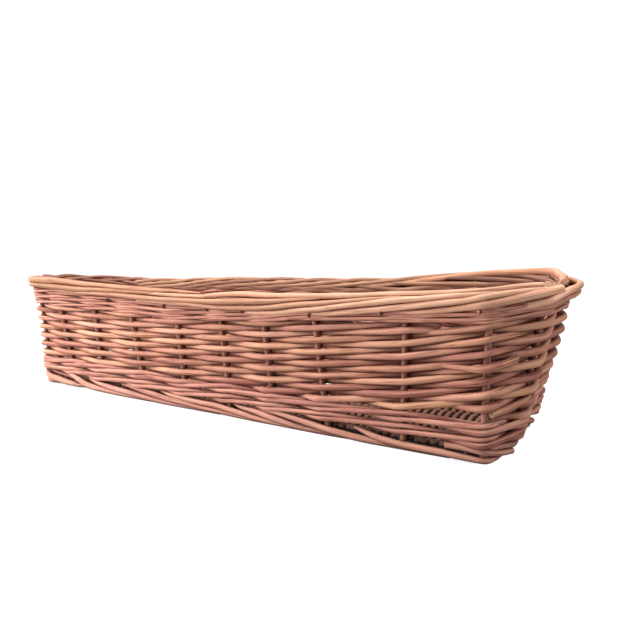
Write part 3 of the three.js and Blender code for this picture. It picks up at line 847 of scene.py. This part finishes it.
# place along the wall, out from it, height, radius
footRuns = [
    [
        (-0.3, 3.0, 16.0, 2.6), (0.4, 4.2, 15.5, 3.0), (0.9, 5.6, 13.5, 3.3), (1.12, 5.6, 9.8, 3.6),
        (1.39, 5.0, 7.1, 3.7), (1.69, 5.0, 5.2, 3.5), (1.95, 4.6, 4.2, 3.0), (2.12, 3.2, 3.0, 2.2),
        (2.3, 0.5, 3.2, 1.8),
    ],
    [
        (1.5, -1.0, 19.0, 2.2), (1.77, 3.4, 17.6, 2.4), (2.02, 4.2, 14.4, 3.2), (2.24, 4.8, 10.6, 3.5),
        (2.45, 5.5, 6.9, 3.5), (2.74, 5.0, 4.5, 3.45), (3.13, 4.7, 3.4, 3.1), (3.46, 4.3, 2.6, 2.8),
        (3.88, 4.1, 2.3, 2.45), (4.38, 3.4, 2.2, 2.1),
    ],
    [
        (2.5, 0.0, 12.5, 2.0), (2.87, 4.5, 10.6, 2.3), (3.21, 5.3, 8.3, 3.0), (3.45, 5.4, 7.0, 3.05),
        (3.91, 5.2, 4.8, 2.95), (4.39, 4.5, 3.0, 2.85), (4.88, 4.3, 2.6, 2.6), (5.35, 4.0, 2.4, 2.25),
        (5.81, 3.4, 2.3, 2.0),
    ],
    [
        (3.45, 0.0, 13.6, 2.0), (3.71, 3.6, 13.0, 2.2), (4.05, 4.8, 10.5, 3.1), (4.31, 5.1, 9.1, 3.1),
        (4.55, 5.4, 7.4, 2.9), (4.91, 5.6, 6.1, 2.85), (5.37, 5.0, 4.4, 2.55), (5.82, 5.0, 3.9, 2.45),
        (6.27, 4.5, 3.0, 2.4), (6.77, 4.3, 2.5, 2.3), (7.14, 3.4, 2.1, 2.1),
    ],
    [
        (4.4, 0.0, 13.0, 2.0), (4.67, 4.2, 11.8, 2.1), (5.03, 4.9, 10.3, 2.8), (5.39, 5.1, 9.5, 2.8),
        (5.73, 5.0, 9.3, 2.9), (6.09, 5.4, 7.5, 2.9), (6.41, 5.5, 5.7, 2.85), (6.65, 4.9, 4.1, 2.8),
        (7.14, 4.3, 2.7, 2.5), (7.52, 4.1, 2.3, 2.2), (7.87, 3.4, 2.0, 2.0),
    ],
    [
        (6.1, 0.0, 13.0, 1.8), (6.34, 4.2, 11.7, 2.0), (6.66, 4.9, 10.2, 2.8), (6.97, 5.3, 7.7, 2.8),
        (7.17, 5.6, 6.2, 2.75), (7.37, 5.2, 4.4, 2.7), (7.62, 4.3, 2.9, 2.65), (7.88, 4.0, 2.4, 2.4),
        (8.18, 3.4, 2.0, 2.0), (8.5, 1.5, 1.8, 1.7),
    ],
    [
        (6.6, 0.0, 13.6, 1.7), (6.88, 4.0, 12.9, 1.9), (7.17, 4.2, 12.3, 2.5), (7.46, 4.9, 10.4, 2.7),
        (7.73, 5.2, 8.4, 2.9), (8.0, 5.5, 6.4, 2.9), (8.21, 5.2, 4.9, 3.0), (8.41, 4.6, 3.6, 3.0),
        (8.6, 4.2, 3.0, 2.9), (8.79, 3.9, 2.9, 2.85), (8.98, 3.7, 2.4, 2.3), (9.26, 3.4, 2.1, 2.0),
        (9.6, 2.8, 1.8, 1.6),
    ],
    [
        (8.36, -2.0, 10.8, 2.0), (8.55, 2.4, 8.9, 2.4), (8.68, 4.9, 7.4, 2.7), (8.81, 5.6, 6.2, 2.8),
        (9.0, 5.3, 5.1, 2.8), (9.26, 5.1, 4.7, 3.0), (9.53, 5.2, 4.6, 2.9), (9.78, 5.0, 4.0, 2.7),
        (10.03, 4.8, 3.4, 2.4), (10.26, 4.3, 2.5, 2.2), (10.5, 2.5, 2.4, 1.8), (10.8, -1.0, 2.6, 1.6),
    ],
    [
        (-1.2, -3.0, 10.0, 2.0), (-0.4, -1.0, 9.0, 2.4), (0.4, -0.6, 8.0, 2.5), (0.9, -1.2, 7.5, 2.4),
        (1.5, -3.5, 7.0, 2.2),
    ],
    [
        (-0.8, -2.0, 17.0, 2.0), (0.1, 1.0, 16.6, 2.4), (0.9, 1.2, 15.6, 2.6), (1.3, -0.5, 13.6, 2.4),
        (1.8, -3.5, 9.0, 2.2),
    ],
    [
        (9.7, -2.5, 12.5, 1.9), (10.1, 2.4, 12.4, 2.4), (10.45, 4.4, 11.2, 2.7), (10.8, 4.6, 9.4, 2.7),
        (11.2, 3.4, 8.2, 2.4), (11.6, -1.0, 7.5, 2.1),
    ],
    [
        (9.6, -3.0, 8.5, 2.0), (10.2, -0.8, 7.6, 2.5), (10.7, -0.4, 6.8, 2.6), (11.2, -1.0, 6.5, 2.5),
        (12.0, -3.5, 6.5, 2.2),
    ],
    [
        (9.8, -3.5, 4.6, 2.0), (10.3, -1.6, 4.0, 2.4), (10.8, -1.2, 3.8, 2.4), (11.3, -2.0, 4.0, 2.3),
        (12.0, -4.0, 5.0, 2.0),
    ],
    [
        (9.55, 4.6, 11.4, 2.7), (9.77, 4.4, 11.7, 3.05), (9.89, 4.7, 11.0, 2.9), (10.03, 5.0, 10.1, 2.7),
        (10.24, 5.3, 7.9, 2.55), (10.45, 5.6, 6.1, 2.55), (10.82, 4.8, 3.7, 2.7),
    ],
]
chance = np.random.default_rng(foot["seed"])
guides = []
for i in foot["shapedStakes"]:
    keys = [wallPoint(i + p, z, out) for p, out, z in foot["shape"]]
    tone, hue = chance.random(), foot["hueTo"] * chance.random()
    guides.append(rodGuide(keys, foot["butt"], foot["tip"], tone, hue=hue))
for run in footRuns:
    keys = [wallPoint(p, z, out) for p, out, z, radius in run]
    tone, hue = drawn(chance, foot["runTone"]), foot["runHueTo"] * chance.random()
    guides.append(runGuide(keys, [row[3] for row in run], tone, hue=hue))
makeRods("foot_rods", guides, foot, finishes["foot"], "border", "foot_border")
print("foot made")

# floor: thin rods woven across five long sticks
floorSticks = {
    "seed": 59, "shares": (-0.66, -0.33, 0, 0.33, 0.66), "radius": 3.0, "taper": 0.9, "z": 9.05,
    "endGap": 14, "wallGap": 5.0, "keys": 12, "step": 6.0, "Sides": 12, "Wobble": 0.001, "Lump": 0.1,
}
endWall = np.array([stakeAt(i, floorSticks["z"])[:2] for i in (10, 11, 12, 13)])
chance = np.random.default_rng(floorSticks["seed"])
for n, share in enumerate(floorSticks["shares"]):
    gap = floorSticks["endGap"] + max(0, abs(share) - wall["endShare"]) * wall["halfWidth"]
    reach = wall["halfLength"] - wall["endFlare"] / 2 - gap
    y = share * wall["halfWidth"]
    rightReach = min(reach, np.interp(y, endWall[:, 1], endWall[:, 0]) - floorSticks["wallGap"])
    keys = [(x, y, floorSticks["z"]) for x in np.linspace(-reach, rightReach, floorSticks["keys"])]
    butt, tip = floorSticks["radius"], floorSticks["radius"] * floorSticks["taper"]
    guide = rodGuide(keys, butt, tip, chance.random(), floorSticks["step"])
    name = f"stick_{n + 1:02d}"
    makeRods(name, [guide], floorSticks, finishes["floor"], "floor", "floor_" + name)

floorWeave = {
    "butt": 2.3, "tip": 2.15, "pitch": 3.7, "lift": 3.7, "edge": 3.6, "endGap": 2, "stickGap": 4,
    "parts": 44, "step": 3.0, "Sides": 8, "Wobble": 0.0006, "Lump": 0.1,
}


def floorHalfWidth(x):
    outline = np.array([wallPoint(i, 0, -floorWeave["edge"])[:2] for i in range(stakeCount // 2)])
    return float(-np.interp(x, outline[:, 0], outline[:, 1]))


# the rear edge follows the end wall, where its rear stake stands further in
def floorRear(x):
    nearX, rearX = endWall[1, 0], endWall[2, 0]
    nearY, rearY = endWall[1, 1], endWall[2, 1]
    beside = x + floorWeave["edge"]
    wide = floorHalfWidth(x)
    if beside <= rearX:
        return wide
    return min(wide, float(rearY + (nearY - rearY) * (beside - rearX) / (nearX - rearX)))


left = stakeAt(0, 0)[0] + floorWeave["edge"]
right = stakeAt(stakeCount // 2 - 1, 0)[0] - floorWeave["edge"] - floorWeave["endGap"]
rows = np.arange(left, right, floorWeave["pitch"])
sticks = [share * wall["halfWidth"] for share in floorSticks["shares"]]
guides = []
for some in np.array_split(rows, floorWeave["parts"]):
    keys = []
    for x in some:
        j = int(round((x - left) / floorWeave["pitch"]))
        wide, rear = floorHalfWidth(x), floorRear(x)
        crossings = [y for y in sticks if floorWeave["stickGap"] - wide < y < rear - floorWeave["stickGap"]]
        spots = [(-wide, 0)] + [(y, (-1) ** (n + j)) for n, y in enumerate(crossings)] + [(rear, 0)]
        if j % 2:
            spots.reverse()
        keys += [(x, y, floorSticks["z"] + up * floorWeave["lift"]) for y, up in spots]
    guides.append(rodGuide(keys, floorWeave["butt"], floorWeave["tip"], chance.random(), floorWeave["step"]))
makeRods("floor_weave_rods", guides, floorWeave, finishes["floor"], "floor", "floor_weave")
print("floor made")

# ground, light and camera
stageLook = {
    "size": 12.0, "drop": 0.0005, "floor": (0.32, 0.32, 0.32, 1), "bounce": (0.24, 0.24, 0.24, 1),
    "glow": 0.93, "fade": (0.45, 1.3), "worldLight": 0.15,
    # painted shade: under is the box under the basket where the paper's glow is taken away
    "under": (0.282, 0.058, 9), "paintedShadeShift": (-0.01, 0, 0), "paintedShadeFade": (-0.008, 0.012),
}
bpy.ops.mesh.primitive_plane_add(size=stageLook["size"], location=(0, 0, -stageLook["drop"]))
ground = bpy.context.object
ground.name = "ground"
paper = bpy.data.materials.new("palePaper")
paper.use_nodes = True
tree = paper.node_tree
tree.nodes.clear()
toCamera = addNode(tree, "ShaderNodeLightPath").outputs["Is Camera Ray"]
tint = mixed(tree, "MIX", toCamera, stageLook["bounce"], stageLook["floor"])
diffuse = addNode(tree, "ShaderNodeBsdfDiffuse", {"Color": tint})
# to the camera the paper also glows, most of all far out; the glow is taken away under the basket, which
# paints shade there
spot = addNode(tree, "ShaderNodeTexCoord").outputs["Object"]
far = vectors(tree, "LENGTH", spot)["Value"]
glow = ranged(tree, far, stageLook["fade"], (stageLook["glow"], 1.0), interpolation_type="SMOOTHSTEP")
place = vectors(tree, "SUBTRACT", spot, stageLook["paintedShadeShift"])["Vector"]
beyond = vectors(tree, "SUBTRACT", vectors(tree, "ABSOLUTE", place)["Vector"], stageLook["under"])["Vector"]
sides = addNode(tree, "ShaderNodeSeparateXYZ", {0: beyond}).outputs
clear = ranged(tree, maths(tree, "MAXIMUM", sides["X"], sides["Y"]), stageLook["paintedShadeFade"])
strength = maths(tree, "MULTIPLY", toCamera, maths(tree, "MULTIPLY", glow, clear))
emission = addNode(tree, "ShaderNodeEmission", {"Strength": strength})
both = addNode(tree, "ShaderNodeAddShader", {0: diffuse.outputs[0], 1: emission.outputs[0]})
addNode(tree, "ShaderNodeOutputMaterial", {"Surface": both.outputs[0]})
ground.data.materials.append(paper)

world = bpy.data.worlds.new("studio")
scene.world = world
world.use_nodes = True
tree = world.node_tree
tree.nodes.clear()
rays = addNode(tree, "ShaderNodeLightPath").outputs
straight = maths(tree, "MAXIMUM", rays["Is Camera Ray"], rays["Is Transmission Ray"])
strength = ranged(tree, straight, (0.0, 1.0), (stageLook["worldLight"], 1.0))
sky = addNode(tree, "ShaderNodeBackground", {"Color": (1, 1, 1, 1), "Strength": strength})
addNode(tree, "ShaderNodeOutputWorld", {"Surface": sky.outputs[0]})

lamps = {
    "keyLamp": {"at": (-0.68, -0.52, 0.33), "size": 1.5, "power": 28},
    "fillLamp": {"at": (-0.85, -0.62, 0.22), "size": 0.6, "power": 4},
    "topLamp": {"at": (0.15, 0.05, 1.15), "size": 1.1, "power": 21},
    "endLamp": {"at": (1.1, 0.2, 0.45), "size": 0.6, "power": 4.7},
    "backLamp": {"at": (-0.35, 1.25, 0.42), "size": 1.0, "power": 8},
}
for name, lamp in lamps.items():
    light = bpy.data.lights.new(name, "AREA")
    light.size = lamp["size"]
    light.energy = lamp["power"]
    holder = bpy.data.objects.new(name, light)
    scene.collection.objects.link(holder)
    at = np.array(lamp["at"])
    aim = -at / np.linalg.norm(at)
    holder.location = lamp["at"]
    holder.rotation_euler = (math.acos(-aim[2]), 0, math.atan2(aim[1], aim[0]) - math.pi / 2)

view = {
    "at": (481.184, -551.355, 164.286), "turn": 0.61754, "down": 0.10528, "focal": 683.98, "frame": 640,
    "sensor": 36, "clip": 0.01,
}
camera = bpy.data.cameras.new("view")
camera.sensor_width = view["sensor"]
camera.lens = view["sensor"] * view["focal"] / view["frame"]
camera.clip_start = view["clip"]
eye = bpy.data.objects.new("view", camera)
scene.collection.objects.link(eye)
eye.location = [c * mm for c in view["at"]]
eye.rotation_euler = (math.pi / 2 - view["down"], 0, view["turn"])
scene.camera = eye
